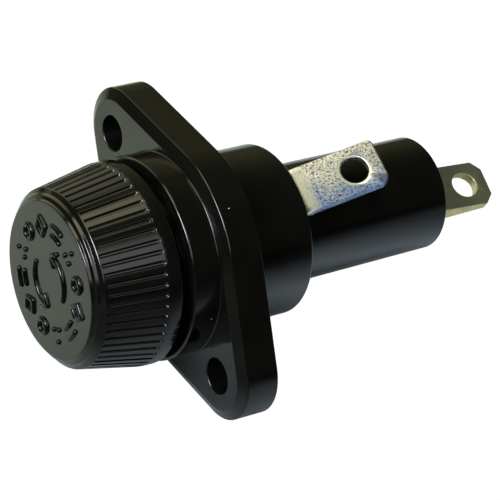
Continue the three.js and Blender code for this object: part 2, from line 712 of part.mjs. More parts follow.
// The clip that holds the fuse, and the knob that turns round it.
const clip = new THREE.Group();
clip.add(piece('fuse_clip', fuseClipSolid(), springSteel));
clip.add(piece('clip_rivet', clipRivetSolid(), brass));
const knob = new THREE.Group();
knob.add(piece('knob', knobSolid(), phenolic));
knob.add(piece('knob_shell', knobShellSolid(), brass));

const group = new THREE.Group();
group.add(holder, fuse, clip, knob);

export default group;
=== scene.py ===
# Looks of a panel-mount cartridge fuse holder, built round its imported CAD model.
#
# The row frame has +Z along the fuse axis out through the knob, X through the two screw holes and
# the side terminal on -Y. Shapes are built in millimetres and scaled to metres as they become
# objects. Sizes that the CAD boxes give are read from them.

import math

import bmesh
import bpy
from mathutils import Matrix, Vector


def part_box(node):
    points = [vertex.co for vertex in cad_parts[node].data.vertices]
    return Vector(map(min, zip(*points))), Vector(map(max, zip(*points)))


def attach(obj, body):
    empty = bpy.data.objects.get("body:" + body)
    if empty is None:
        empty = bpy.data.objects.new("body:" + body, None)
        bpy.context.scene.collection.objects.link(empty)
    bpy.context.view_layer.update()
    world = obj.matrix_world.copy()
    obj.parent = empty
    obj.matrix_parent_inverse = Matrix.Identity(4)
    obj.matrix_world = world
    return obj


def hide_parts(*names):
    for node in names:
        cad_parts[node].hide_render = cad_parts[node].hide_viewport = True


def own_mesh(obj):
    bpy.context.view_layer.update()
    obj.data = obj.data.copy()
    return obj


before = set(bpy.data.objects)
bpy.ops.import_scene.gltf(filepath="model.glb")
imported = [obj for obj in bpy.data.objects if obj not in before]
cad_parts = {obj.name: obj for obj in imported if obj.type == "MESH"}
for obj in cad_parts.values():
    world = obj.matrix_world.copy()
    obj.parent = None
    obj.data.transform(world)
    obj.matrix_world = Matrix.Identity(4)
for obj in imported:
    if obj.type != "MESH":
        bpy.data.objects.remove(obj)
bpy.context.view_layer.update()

MM = 0.001


def box_mm(node):
    """Lowest and highest corner of a CAD node, in millimetres."""
    low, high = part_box(node)
    return low / MM, high / MM


# ------------------------------------------------------------------ sizes, in millimetres

BODY_LOW, BODY_HIGH = box_mm("body")
KNOB_LOW, KNOB_HIGH = box_mm("knob")
SLEEVE_LOW, SLEEVE_HIGH = box_mm("thread_sleeve")
SHELL_LOW, SHELL_HIGH = box_mm("knob_shell")
CLIP_LOW, CLIP_HIGH = box_mm("fuse_clip")
RIVET_LOW, RIVET_HIGH = box_mm("clip_rivet")
PLUNGER_LOW, PLUNGER_HIGH = box_mm("contact_plunger")
SPRING_LOW, SPRING_HIGH = box_mm("contact_spring")
TUBE_LOW, TUBE_HIGH = box_mm("fuse_tube")

GAP = 0.3

FLANGE_THICKNESS = 5.7
FLANGE_TIP_R = 6.95
FLANGE_DISC_R = BODY_HIGH.y
FLANGE_TIP_X = BODY_HIGH.x - FLANGE_TIP_R
BEVEL_WIDTH = 1.6
BEVEL_DEPTH = 0.8
SCREW_HOLE_X = 19.05
SCREW_HOLE_R = 2.58

COLLAR_R = 14.4
COLLAR_FRONT_Z = BODY_HIGH.z
SHOULDER_R = 12.25
SHOULDER_REAR_Z = -11.15
BARREL_FRONT_R = 8.5
BARREL_REAR_R = 8.27
BARREL_REAR_Z = BODY_LOW.z
REAR_WALL_Z = BARREL_REAR_Z + 3.0
FUSE_BORE_R = 5.8
MOUTH_BORE_R = 8.7
MOUTH_FLOOR_Z = SLEEVE_LOW.z - GAP
LIP_RECESS_R = 9.5
LIP_RECESS_Z = COLLAR_FRONT_Z - 1.3

KNOB_FACE_Z = KNOB_HIGH.z
KNOB_FACE_R = 11.1
KNOB_EDGE_R = 11.75
KNOB_EDGE_Z = KNOB_FACE_Z - 0.6
KNOB_STEP = 0.4
KNOB_SHOULDER_R = 12.57
KNOB_SHOULDER_Z = KNOB_FACE_Z - 1.4
KNOB_FLARE_R = 14.25
KNOB_FLARE_Z = 13.85
KNOB_REAR_R = KNOB_HIGH.x
KNOB_REAR_Z = 11.5
KNOB_BOSS_R = 11.0
KNOB_BOSS_Z = KNOB_LOW.z
KNOB_BORE_R = 7.6
KNOB_BORE_FLOOR_Z = SHELL_HIGH.z + GAP
POCKET_R = 2.9
POCKET_FLOOR_Z = KNOB_BORE_FLOOR_Z + 1.2
FLUTES = 60
FLUTE_FRONT_Z = 22.3
FLUTE_REAR_Z = 13.9
FLUTE_HALF_WIDTH = 0.24
FLUTE_DEPTH = 0.36
FLUTE_EDGE = 0.1
FLUTE_MID_R = (KNOB_SHOULDER_R + KNOB_FLARE_R) / 2
MARK_WIDTH = 0.8
MARK_HEIGHT = 0.42
MARK_RING_R = 7.6
ARROW_R = 3.9

THREAD_PITCH = 2.4
THREAD_TOP_Z = 8.2
THREAD_BOTTOM_Z = -0.6
THREAD_DEPTH = 0.35
SLEEVE_R = MOUTH_BORE_R - GAP
SLEEVE_CREST_R = 7.6
SHELL_R = SHELL_HIGH.x
SHELL_BORE_R = 6.3
SHELL_FLOOR_Z = SHELL_HIGH.z - 0.8
RIVET_SHAFT_R = 1.2
RIVET_HOLE_R = RIVET_SHAFT_R + GAP

TERMINAL_TURN = Matrix.Rotation(math.radians(4.2), 3, "Z")
TERMINAL_WIDTH = 7.1
TERMINAL_HOLE_R = 2.0
SIDE_THICKNESS = 1.2
SIDE_LEG_OUTER = MOUTH_BORE_R + SIDE_THICKNESS
SIDE_TOP_Z = box_mm("side_terminal")[1].z
SIDE_BEND_Z = -12.41
SIDE_BEND_R = 2.5
SIDE_TILT = math.radians(18.9)
SIDE_TIP_LENGTH = 12.8
SIDE_HOLE_DISTANCE = 8.67
SIDE_CORNERS = (1.5, 0.8)

END_THICKNESS = 1.5
END_TIP_LENGTH = 12.75
END_HOLE_DISTANCE = 8.75
END_CHAMFER = 1.42
END_LEAN = Matrix.Rotation(math.radians(4), 3, "Y")
END_FLARE = 1.05
END_FRONT_Y = -0.74
END_CENTRE_X = -0.48
END_FOOT_THICKNESS = 1.2
END_FOOT_R = box_mm("end_terminal")[1].y

SEGMENTS = 192


# ------------------------------------------------------------------ mesh building


def rounded(corners, steps=6, closed=False):
    """The points of a path through (a, b, radius) corners, with an arc at each corner."""
    path = []
    count = len(corners)
    for i, (a, b, radius) in enumerate(corners):
        here = Vector((a, b))
        if radius == 0 or (not closed and i in (0, count - 1)):
            path.append(here)
            continue
        before = (Vector(corners[i - 1][:2]) - here).normalized()
        after = (Vector(corners[(i + 1) % count][:2]) - here).normalized()
        half = before.angle(after) / 2
        centre = here + (before + after).normalized() * radius / math.sin(half)
        start = here + before * radius / math.tan(half) - centre
        end = here + after * radius / math.tan(half) - centre
        first = math.atan2(start.y, start.x)
        sweep = (math.atan2(end.y, end.x) - first + math.pi) % (2 * math.pi) - math.pi
        for k in range(steps + 1):
            angle = first + sweep * k / steps
            path.append(centre + radius * Vector((math.cos(angle), math.sin(angle))))
    return path


def even_angles(count):
    return [2 * math.pi * k / count for k in range(count)]


def bridge(bm, lower, upper):
    """Faces between two rings with the same number of vertices, or a ring and one vertex."""
    count = max(len(lower), len(upper))
    for k in range(count):
        a, b = lower[k % len(lower)], lower[(k + 1) % len(lower)]
        c, d = upper[(k + 1) % len(upper)], upper[k % len(upper)]
        corners = [v for i, v in enumerate((a, b, c, d)) if v not in (a, b, c, d)[:i]]
        bm.faces.new(corners)


def turn(bm, profile, angles=None, relief=None, closed=False, centre=(0, 0)):
    """Revolve (radius, z) points about Z and return the rings. relief(radius, z, angle) gives a
    changed radius."""
    angles = angles or even_angles(SEGMENTS)
    rings = []
    for radius, z in profile:
        if radius < 1e-6:
            rings.append([bm.verts.new((*centre, z))])
            continue
        ring = []
        for angle in angles:
            r = relief(radius, z, angle) if relief else radius
            ring.append(bm.verts.new((centre[0] + r * math.cos(angle),
                                      centre[1] + r * math.sin(angle), z)))
        rings.append(ring)
    for lower, upper in zip(rings, rings[1:] + (rings[:1] if closed else [])):
        bridge(bm, lower, upper)
    return rings


def fill(bm, *loops):
    """A flat face inside the first loop and outside the others."""
    edges = []
    for loop in loops:
        for a, b in zip(loop, loop[1:] + loop[:1]):
            edges.append(bm.edges.get((a, b)) or bm.edges.new((a, b)))
    bmesh.ops.triangle_fill(bm, use_beauty=True, edges=edges)


def slab(bm, outline, section, bores=(), front_loops=(), rear_loops=()):
    """A plate across Z. outline(inset) gives its outline, section its edge as (inset, z) points
    from the rear face to the front one, and each bore is (centre, profile) from front to rear."""
    loops = [[bm.verts.new((x, y, z)) for x, y in outline(inset)] for inset, z in section]
    for lower, upper in zip(loops, loops[1:]):
        bridge(bm, lower, upper)
    fronts = [loops[-1], *front_loops]
    rears = [loops[0], *rear_loops]
    for centre, profile in bores:
        rings = turn(bm, profile, even_angles(64), centre=centre)
        fronts.append(rings[0])
        rears.append(rings[-1])
    fill(bm, *fronts)
    fill(bm, *rears)


def block(low, high):
    """A box from its low to its high corner, for cutting."""
    bm = bmesh.new()
    bmesh.ops.create_cube(bm, size=1)
    for v in bm.verts:
        for axis in range(3):
            v.co[axis] = high[axis] if v.co[axis] > 0 else low[axis]
    return bm


def new_object(name, bm, material=None):
    """An object in the scene with this mesh, which is used up."""
    mesh = bpy.data.meshes.new(name)
    bm.to_mesh(mesh)
    bm.free()
    if material:
        mesh.materials.append(material)
    obj = bpy.data.objects.new(name, mesh)
    bpy.context.scene.collection.objects.link(obj)
    return obj


def combine(bm, other, operation):
    """Join two closed meshes, or cut the second out of the first, and return the result."""
    objects = []
    for part in (bm, other):
        bmesh.ops.recalc_face_normals(part, faces=part.faces)
        objects.append(new_object("working", part))
    modifier = objects[0].modifiers.new("combine", "BOOLEAN")
    modifier.object = objects[1]
    modifier.operation = operation
    modifier.solver = "EXACT"
    bpy.context.view_layer.update()
    evaluated = objects[0].evaluated_get(bpy.context.evaluated_depsgraph_get())
    result = bmesh.new()
    result.from_mesh(evaluated.to_mesh())
    evaluated.to_mesh_clear()
    for obj in objects:
        mesh = obj.data
        bpy.data.objects.remove(obj)
        bpy.data.meshes.remove(mesh)
    bmesh.ops.dissolve_degenerate(result, dist=1e-4, edges=result.edges)
    return result


def piece(name, bm, material, body, node, crease=32):
    """Turn a mesh in millimetres into a shaded piece that rides on a CAD body and stands for a
    CAD node. Edges sharper than crease degrees stay sharp."""
    bmesh.ops.recalc_face_normals(bm, faces=bm.faces)
    for face in bm.faces:
        face.smooth = True
    for edge in bm.edges:
        edge.smooth = edge.calc_face_angle(0) < math.radians(crease)
    bmesh.ops.scale(bm, vec=(MM, MM, MM), verts=bm.verts)
    obj = new_object(name, bm, material)
    weighted = obj.modifiers.new("weighted", "WEIGHTED_NORMAL")
    weighted.keep_sharp = True
    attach(obj, body)
    if node:
        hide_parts(node)
    return obj


# ------------------------------------------------------------------ materials


def add(tree, kind, inputs=(), **settings):
    """Add a shader node, set it up and return it. An input is a value or another node's socket."""
    node = tree.nodes.new(kind)
    for key, value in settings.items():
        setattr(node, key, value)
    for key, value in dict(inputs).items():
        if isinstance(value, bpy.types.NodeSocket):
            tree.links.new(value, node.inputs[key])
        else:
            node.inputs[key].default_value = value
    return node


def new_material(name):
    material = bpy.data.materials.new(name)
    material.use_nodes = True
    tree = material.node_tree
    return material, tree, tree.nodes["Principled BSDF"]


def set_inputs(tree, node, **values):
    for key, value in values.items():
        socket = node.inputs[key.replace("_", " ")]
        if isinstance(value, bpy.types.NodeSocket):
            tree.links.new(value, socket)
        else:
            socket.default_value = value


def object_coordinates(tree):
    return add(tree, "ShaderNodeTexCoord").outputs["Object"]


def noise(tree, where, scale, detail=3.0, roughness=0.5, distortion=0.0):
    inputs = {"Vector": where, "Scale": scale, "Detail": detail,
              "Roughness": roughness, "Distortion": distortion}
    return add(tree, "ShaderNodeTexNoise", inputs).outputs["Fac"]


def ramp(tree, factor, *stops):
    """A colour ramp with (position, colour) stops. A colour may be one grey number."""
    node = add(tree, "ShaderNodeValToRGB", {"Fac": factor})
    elements = node.color_ramp.elements
    while len(elements) < len(stops):
        elements.new(0.5)
    for element, (position, colour) in zip(elements, stops):
        element.position = position
        grey = isinstance(colour, (int, float))
        element.color = (colour, colour, colour, 1) if grey else (*colour, 1)
    return node.outputs["Color"]


def mix(tree, factor, a, b, blend="MIX"):
    node = add(tree, "ShaderNodeMix", data_type="RGBA", blend_type=blend)
    for index, value in ((0, factor), (6, a), (7, b)):
        if isinstance(value, bpy.types.NodeSocket):
            tree.links.new(value, node.inputs[index])
        elif index == 0:
            node.inputs[index].default_value = value
        else:
            node.inputs[index].default_value = (*value, 1)
    return node.outputs[2]


def math_node(tree, operation, a, b=0.0):
    return add(tree, "ShaderNodeMath", {0: a, 1: b}, operation=operation).outputs[0]


def bump(tree, height, strength, distance):
    inputs = {"Height": height, "Strength": strength, "Distance": distance * MM}
    return add(tree, "ShaderNodeBump", inputs).outputs["Normal"]


def dust(tree, where, scale, share, size):
    """A mask of small round specks, in that share of the cells of a random grid."""
    cells = add(tree, "ShaderNodeTexVoronoi", {"Vector": where, "Scale": scale})
    near = math_node(tree, "LESS_THAN", cells.outputs["Distance"], size)
    pick = add(tree, "ShaderNodeSeparateColor", {"Color": cells.outputs["Color"]})
    chosen = math_node(tree, "LESS_THAN", pick.outputs["Red"], share)
    return math_node(tree, "MULTIPLY", near, chosen)


def phenolic(name, tint, gloss, ior):
    """Glossy black moulding with a faint flow pattern, handling smears, a fine skin and dust."""
    material, tree, shader = new_material(name)
    where = object_coordinates(tree)
    flow = noise(tree, where, 160, 4, 0.6, 0.8)
    dark = tuple(0.55 * c for c in tint)
    colour = ramp(tree, flow, (0.3, dark), (0.7, tint))
    specks = dust(tree, where, 620, 0.03, 0.06)
    colour = mix(tree, specks, colour, (0.42, 0.42, 0.38))
    smears = noise(tree, where, 70, 5, 0.65, 1.5)
    rough = ramp(tree, smears, (0.35, gloss), (0.75, gloss + 0.07))
    rough = mix(tree, specks, rough, (0.7, 0.7, 0.7))
    skin = noise(tree, where, 1400, 2, 0.5)
    set_inputs(tree, shader, Base_Color=colour, Roughness=rough, IOR=ior,
               Normal=bump(tree, skin, 0.05, 0.02))
    return material


def bright_zinc(name, hole_centre, hole_axis, across):
    """Bright plated strip: a fine spangle, painted shade and reflection that turn it darker and
    bluer across the strip, and painted highlights round its screw hole and at both ends of the
    strip."""
    material, tree, shader = new_material(name)
    where = object_coordinates(tree)
    spangle = noise(tree, where, 3400, 4, 0.75)
    cloud = noise(tree, where, 260, 3, 0.5)
    away = add(tree, "ShaderNodeVectorMath", {0: where, 1: hole_centre}, operation="SUBTRACT")
    side = add(tree, "ShaderNodeVectorMath", {0: away.outputs[0], 1: across},
               operation="DOT_PRODUCT")
    # Painted shade and reflection: shift runs across the strip, so one side is painted darker and
    # bluer.
    shift = math_node(tree, "MULTIPLY", side.outputs["Value"], 0.11 / MM)
    shift = math_node(tree, "ADD", shift, cloud)
    tint = ramp(tree, shift, (0.25, (0.98, 0.98, 1.0)), (0.55, (0.72, 0.77, 0.90)),
                (0.85, (0.40, 0.52, 0.88)))
    grains = ramp(tree, spangle, (0.41, 0.12), (0.50, 0.78), (0.56, 1.0))
    # Painted highlight: a whiter, smoother ring round the screw hole.
    cross = add(tree, "ShaderNodeVectorMath", {0: away.outputs[0], 1: hole_axis},
                operation="CROSS_PRODUCT")
    distance = add(tree, "ShaderNodeVectorMath", {0: cross.outputs[0]}, operation="LENGTH")
    scaled = math_node(tree, "MULTIPLY", distance.outputs["Value"], 1 / (4 * MM))
    ring = ramp(tree, scaled, (0.58, 1.0), (0.64, 0.0))
    # Painted highlights: whiter, smoother bands at both ends of the strip.
    along = add(tree, "ShaderNodeSeparateXYZ", {"Vector": away.outputs[0]})
    height_share = add(tree, "ShaderNodeMapRange", {"Value": along.outputs["Z"],
                                                    "From Min": -8 * MM, "From Max": 8 * MM})
    ends = ramp(tree, height_share.outputs["Result"],
                (0.2, 0.9), (0.3, 0.0), (0.88, 0.0), (0.98, 0.9))
    # plain is the mask of these painted highlights.
    plain = math_node(tree, "MAXIMUM", ring, ends)
    colour = mix(tree, 1.0, tint, grains, "MULTIPLY")
    colour = mix(tree, plain, colour, (1.0, 1.0, 0.95))
    rough = ramp(tree, spangle, (0.35, 0.4), (0.65, 0.24))
    rough = mix(tree, plain, rough, (0.26, 0.26, 0.26))
    height = mix(tree, plain, spangle, (0.5, 0.5, 0.5))
    set_inputs(tree, shader, Base_Color=colour, Roughness=rough, Metallic=1.0,
               Normal=bump(tree, height, 0.5, 0.05))
    return material


def metal(name, base, tint, rough, grain_scale, scratch=0.0):
    """Plated or bare metal with a cloudy tone, a fine grain and faint draw lines along Z."""
    material, tree, shader = new_material(name)
    where = object_coordinates(tree)
    cloud = noise(tree, where, 240, 4, 0.6, 0.6)
    grain = noise(tree, where, grain_scale, 3, 0.6)
    colour = ramp(tree, cloud, (0.3, base), (0.72, tint))
    shade = ramp(tree, grain, (0.3, 0.8), (0.7, 1.0))
    colour = mix(tree, 1.0, colour, shade, "MULTIPLY")
    stretch = add(tree, "ShaderNodeMapping", {"Vector": where, "Scale": (1, 1, 0.03)})
    lines = noise(tree, stretch.outputs[0], 5200, 2, 0.5)
    height = mix(tree, scratch, grain, lines)
    rough_map = ramp(tree, grain, (0.3, rough + 0.1), (0.7, rough))
    set_inputs(tree, shader, Base_Color=colour, Roughness=rough_map, Metallic=1.0,
               Normal=bump(tree, height, 0.2, 0.02))
    return material


def fibre(name):
    """Wound fibre tube: pale tan with fine turns round its axis."""
    material, tree, shader = new_material(name)
    where = object_coordinates(tree)
    stretch = add(tree, "ShaderNodeMapping", {"Vector": where, "Scale": (0.15, 0.15, 1)})
    turns = noise(tree, stretch.outputs[0], 2600, 4, 0.6)
    cloud = noise(tree, where, 260, 3, 0.5)
    colour = ramp(tree, turns, (0.3, (0.46, 0.40, 0.28)), (0.7, (0.66, 0.60, 0.46)))
    tone = ramp(tree, cloud, (0.3, 0.85), (0.7, 1.0))
    colour = mix(tree, 1.0, colour, tone, "MULTIPLY")
    rough = ramp(tree, turns, (0.3, 0.7), (0.7, 0.5))
    set_inputs(tree, shader, Base_Color=colour, Roughness=rough, IOR=1.5,
               Normal=bump(tree, turns, 0.3, 0.03))
    return material


BODY_BLACK = phenolic("body_phenolic", (0.0028, 0.003, 0.0022), 0.09, 1.56)
KNOB_BLACK = phenolic("knob_phenolic", (0.003, 0.0032, 0.0024), 0.09, 1.56)
MARK_BLACK = phenolic("mark_phenolic", (0.002, 0.0022, 0.0018), 0.09, 1.36)
BRASS = metal("brass", (0.50, 0.36, 0.15), (0.68, 0.53, 0.27), 0.24, 1800)
DULL_BRASS = metal("dull_brass", (0.44, 0.50, 0.38), (0.58, 0.60, 0.44), 0.42, 1500, 0.5)
SHEARED_BRASS = metal("sheared_brass", (0.68, 0.58, 0.28), (0.96, 0.82, 0.44), 0.3, 1900, 0.6)
SPRING_STEEL = metal("spring_steel", (0.42, 0.42, 0.42), (0.6, 0.6, 0.58), 0.25, 2200)
CLIP_STEEL = metal("clip_steel", (0.48, 0.47, 0.44), (0.66, 0.65, 0.6), 0.26, 2000, 0.4)
NICKEL = metal("nickel", (0.56, 0.53, 0.48), (0.72, 0.69, 0.63), 0.2, 1600)
ZINC = metal("zinc", (0.4, 0.42, 0.45), (0.55, 0.57, 0.6), 0.4, 1500)
FIBRE = fibre("fibre")


# ------------------------------------------------------------------ moulded body


def arc(centre, radius, first, last, steps):
    angles = [first + (last - first) * k / steps for k in range(steps + 1)]
    return [(centre + radius * math.cos(a), radius * math.sin(a)) for a in angles]


def flange_outline(inset):
    """The flange's outline: a disc and two tip discs, joined by straight tangents."""
    lean = math.acos((FLANGE_DISC_R - FLANGE_TIP_R) / FLANGE_TIP_X)
    tip = FLANGE_TIP_R - inset
    disc = FLANGE_DISC_R - inset
    return [
        *arc(FLANGE_TIP_X, tip, -lean, lean, 32),
        *arc(0, disc, lean, math.pi - lean, 40),
        *arc(-FLANGE_TIP_X, tip, math.pi - lean, math.pi + lean, 32),
        *arc(0, disc, math.pi + lean, 2 * math.pi - lean, 40),
    ]


def moulded_body():
    """The flange with its two screw holes, the collar and mouth in front of it, the shoulder and
    barrel behind it, and slots for the two terminals."""
    bm = bmesh.new()
    front = rounded([
        (COLLAR_R + 2, FLANGE_THICKNESS, 0),
        (COLLAR_R, FLANGE_THICKNESS, 0.15),
        (COLLAR_R, COLLAR_FRONT_Z, 0.3),
        (LIP_RECESS_R, COLLAR_FRONT_Z, 0.3),
        (LIP_RECESS_R, LIP_RECESS_Z, 0.1),
        (MOUTH_BORE_R, LIP_RECESS_Z, 0.15),
        (MOUTH_BORE_R, MOUTH_FLOOR_Z, 0.2),
        (FUSE_BORE_R, MOUTH_FLOOR_Z, 0.3),
        (FUSE_BORE_R, REAR_WALL_Z, 0.2),
        (0, REAR_WALL_Z, 0),
    ])[1:]
    rear = rounded([
        (SHOULDER_R + 2, 0, 0),
        (SHOULDER_R, 0, 0.15),
        (SHOULDER_R, SHOULDER_REAR_Z, 0.55),
        (BARREL_FRONT_R, SHOULDER_REAR_Z, 0.2),
        (BARREL_REAR_R, BARREL_REAR_Z, 0.35),
        (0, BARREL_REAR_Z, 0),
    ])[1:]
    collar_ring = turn(bm, front)[0]
    shoulder_ring = turn(bm, rear)[0]
    section = rounded([
        (2, 0, 0),
        (0, 0, 0.2),
        (0, FLANGE_THICKNESS - BEVEL_DEPTH, 0.2),
        (BEVEL_WIDTH, FLANGE_THICKNESS, 0.3),
        (BEVEL_WIDTH + 1, FLANGE_THICKNESS, 0),
    ])[1:-1]
    hole = rounded([
        (SCREW_HOLE_R + 1, FLANGE_THICKNESS, 0),
        (SCREW_HOLE_R, FLANGE_THICKNESS, 0.18),
        (SCREW_HOLE_R, 0, 0.15),
        (SCREW_HOLE_R + 1, 0, 0),
    ])[1:-1]
    bores = [((x, 0), hole) for x in (-SCREW_HOLE_X, SCREW_HOLE_X)]
    slab(bm, flange_outline, section, bores, [collar_ring], [shoulder_ring])

    half = TERMINAL_WIDTH / 2 + GAP
    leg_slot = block(
        (-half, -SIDE_LEG_OUTER - GAP, SHOULDER_REAR_Z - 0.05),
        (half, -MOUTH_BORE_R + GAP, SIDE_TOP_Z + GAP),
    )
    blade_slot = block(
        (END_CENTRE_X - half, END_FRONT_Y - GAP, BARREL_REAR_Z - 1),
        (END_CENTRE_X + half, END_FRONT_Y + END_THICKNESS + GAP, REAR_WALL_Z + 1),
    )
    for slot in (leg_slot, blade_slot):
        bmesh.ops.transform(slot, matrix=TERMINAL_TURN.to_4x4(), verts=slot.verts)
        bm = combine(bm, slot, "DIFFERENCE")
    piece("moulded_body", bm, BODY_BLACK, "holder", "body")


# ------------------------------------------------------------------ knob


def flute_angles():
    """Column angles: closer together across each flute's walls."""
    shares = (-2.0, -1.0, -0.7, -0.4, 0, 0.4, 0.7, 1.0, 1.3)
    across = [FLUTE_HALF_WIDTH + FLUTE_EDGE * share for share in shares]
    offsets = [-x for x in reversed(across)] + across
    pitch = 2 * math.pi / FLUTES
    angles = []
    for i in range(FLUTES):
        angles += [i * pitch + x / FLUTE_MID_R for x in offsets]
        angles.append((i + 0.5) * pitch)
    return angles


def flute_relief(radius, z, angle):
    """The knob's outer radius with its round-ended flutes sunk in. They widen with the radius."""
    if radius < KNOB_SHOULDER_R - 0.2 or not FLUTE_REAR_Z - 1 < z < FLUTE_FRONT_Z + 1:
        return radius
    pitch = 2 * math.pi / FLUTES
    across = ((angle / pitch + 0.5) % 1 - 0.5) * pitch * FLUTE_MID_R
    beyond = max(
        z - (FLUTE_FRONT_Z - FLUTE_HALF_WIDTH),
        (FLUTE_REAR_Z + FLUTE_HALF_WIDTH) - z,
        0,
    )
    outside = math.hypot(across, beyond) - FLUTE_HALF_WIDTH
    share = min(max((FLUTE_EDGE - outside) / (2 * FLUTE_EDGE), 0), 1)
    return radius - FLUTE_DEPTH * share * share * (3 - 2 * share)


def knob_side_rows():
    """(radius, z) rows down the fluted side, closer together at the flutes' ends."""
    close = [0.06, 0.12, 0.18, 0.25, 0.33, 0.42, 0.52, 0.65]
    heights = [FLUTE_FRONT_Z + 0.12, FLUTE_FRONT_Z + 0.05]
    heights += [FLUTE_FRONT_Z - x for x in close]
    middle = 8
    first, last = FLUTE_FRONT_Z - 1, FLUTE_REAR_Z + 1
    heights += [first + (last - first) * k / middle for k in range(middle + 1)]
    heights += [FLUTE_REAR_Z + x for x in reversed(close)]
    heights += [FLUTE_REAR_Z - 0.05, FLUTE_REAR_Z - 0.12]
    slope = (KNOB_FLARE_R - KNOB_SHOULDER_R) / (KNOB_SHOULDER_Z - KNOB_FLARE_Z)
    return [(KNOB_SHOULDER_R + slope * (KNOB_SHOULDER_Z - z), z) for z in heights]


def fluted_knob():
    """The knob: two small steps round its face, a fluted side, and a bored boss behind."""
    bm = bmesh.new()
    shoulder = rounded([
        (KNOB_FACE_R / 2, KNOB_FACE_Z, 0),
        (KNOB_FACE_R - 0.5, KNOB_FACE_Z, 0),
        (KNOB_FACE_R, KNOB_FACE_Z, 0.2),
        (KNOB_FACE_R + 0.15, KNOB_FACE_Z - KNOB_STEP, 0.12),
        (KNOB_EDGE_R, KNOB_EDGE_Z, 0.2),
        (KNOB_EDGE_R + 0.2, KNOB_EDGE_Z - KNOB_STEP, 0.12),
        (KNOB_SHOULDER_R, KNOB_SHOULDER_Z, 0.3),
        knob_side_rows()[0] + (0,),
    ], steps=5)[:-1]
    rear = rounded([
        (KNOB_FLARE_R + 0.05, KNOB_FLARE_Z - 0.35, 0),
        (KNOB_REAR_R, KNOB_REAR_Z, 0.45),
        (KNOB_BOSS_R, KNOB_REAR_Z, 0.2),
        (KNOB_BOSS_R, KNOB_BOSS_Z, 0.3),
        (KNOB_BORE_R, KNOB_BOSS_Z, 0.2),
        (KNOB_BORE_R, KNOB_BORE_FLOOR_Z, 0.2),
        (POCKET_R, KNOB_BORE_FLOOR_Z, 0.1),
        (POCKET_R, POCKET_FLOOR_Z, 0.2),
        (0, POCKET_FLOOR_Z, 0),
    ], steps=5)
    profile = [(0, KNOB_FACE_Z)] + shoulder + knob_side_rows() + rear
    turn(bm, profile, flute_angles(), flute_relief)
    piece("fluted_knob", bm, KNOB_BLACK, "knob", "knob", crease=50)


def stroke(bm, path):
    """A raised stroke with a rounded section and round ends, along (x, y) points on the face."""
    points = [Vector(p) for p in path]
    half = MARK_WIDTH / 2
    cap_rows, steps = 3, 8

    def cap(end, inner):
        """(place, share of the full section) rows from an end of the stroke out to its tip."""
        out = (end - inner).normalized() * half
        leans = [math.pi / 2 * k / cap_rows * 0.97 for k in range(1, cap_rows + 1)]
        return [(end + out * math.sin(lean), math.cos(lean)) for lean in leans]

    rows = [(*row, points[1] - points[0]) for row in reversed(cap(points[0], points[1]))]
    for i, point in enumerate(points):
        rows.append((point, 1, points[min(i + 1, len(points) - 1)] - points[max(i - 1, 0)]))
    rows += [(*row, points[-1] - points[-2]) for row in cap(points[-1], points[-2])]
    rings = []
    for place, share, ahead in rows:
        side = Vector((-ahead.y, ahead.x)).normalized()
        ring = [bm.verts.new((place.x, place.y, KNOB_FACE_Z - 0.1))]
        for k in range(steps + 1):
            angle = math.pi * k / steps
            spot = place + side * half * share * math.cos(angle)
            height = MARK_HEIGHT * share * math.sin(angle) - 0.01
            ring.append(bm.verts.new((spot.x, spot.y, KNOB_FACE_Z + height)))
        rings.append(ring)
    for lower, upper in zip(rings, rings[1:]):
        bridge(bm, lower, upper)
    bm.faces.new(rings[0])
    bm.faces.new(rings[-1])


def polar(radius, degrees):
    angle = math.radians(degrees)
    return (radius * math.cos(angle), radius * math.sin(angle))


def ring_mark(bm, at):
    centre = Vector(polar(MARK_RING_R, at))
    stroke(bm, [centre + Vector(polar(1.0, 20 * k)) for k in range(19)])


def dots_mark(bm, at):
    for radius, shift in ((MARK_RING_R - 0.8, -5.5), (MARK_RING_R - 0.8, 5.5),
                          (MARK_RING_R + 0.9, 0)):
        spot = Vector(polar(radius, at + shift))
        stroke(bm, [spot, spot + Vector((0.02, 0))])


def bars_mark(bm, at):
    for radius in (MARK_RING_R - 0.75, MARK_RING_R + 0.75):
        stroke(bm, [polar(radius, at - 8 + 4 * k) for k in range(5)])


def diamond_mark(bm, at):
    corners = [polar(MARK_RING_R + 1.3, at), polar(MARK_RING_R, at + 9),
               polar(MARK_RING_R - 1.3, at), polar(MARK_RING_R, at - 9)]
    for a, b in zip(corners, corners[1:] + corners[:1]):
        stroke(bm, [a, b])


def turn_arrow(bm, start):
    stroke(bm, [polar(ARROW_R, start + 5 * k) for k in range(22)])
    tip = start + 5 * 21
    head = 1.1
    for side in (-head, head):
        stroke(bm, [polar(ARROW_R + side, tip - 15), polar(ARROW_R, tip + 2)])


def knob_marks():
    """Plain raised marks: two turn arrows inside a ring of small shapes."""
    bm = bmesh.new()
    shapes = (ring_mark, dots_mark, bars_mark, diamond_mark)
    places = 12
    for i in range(places):
        shapes[i % len(shapes)](bm, 360 * i / places)
    for start in (20, 200):
        turn_arrow(bm, start)
    piece("knob_marks", bm, MARK_BLACK, "knob", None, crease=60)


# ------------------------------------------------------------------ terminals


def strip_outline(length, corners, chamfer=False):
    """A function that gives a strip's outline at an inset. The strip runs along +X from x = 0,
    and only its two far corners, -Y and +Y, are rounded or chamfered."""
    def outline(inset):
        half = TERMINAL_WIDTH / 2 - inset
        near, far = inset, length - inset
        points = [(near, -half)]
        if chamfer:
            low, high = (corner - inset * (2 - math.sqrt(2)) for corner in corners)
            points += [(far - low, -half), (far, -half + low), (far, half - high),
                       (far - high, half)]
        else:
            for first, sign, corner in ((-90, -1, corners[0]), (0, 1, corners[1])):
                r = corner - inset
                for k in range(13):
                    angle = math.radians(first + 90 * k / 12)
                    points.append((far - r + r * math.cos(angle),
                                   sign * (half - r) + r * math.sin(angle)))
        points.append((near, half))
        return points
    return outline


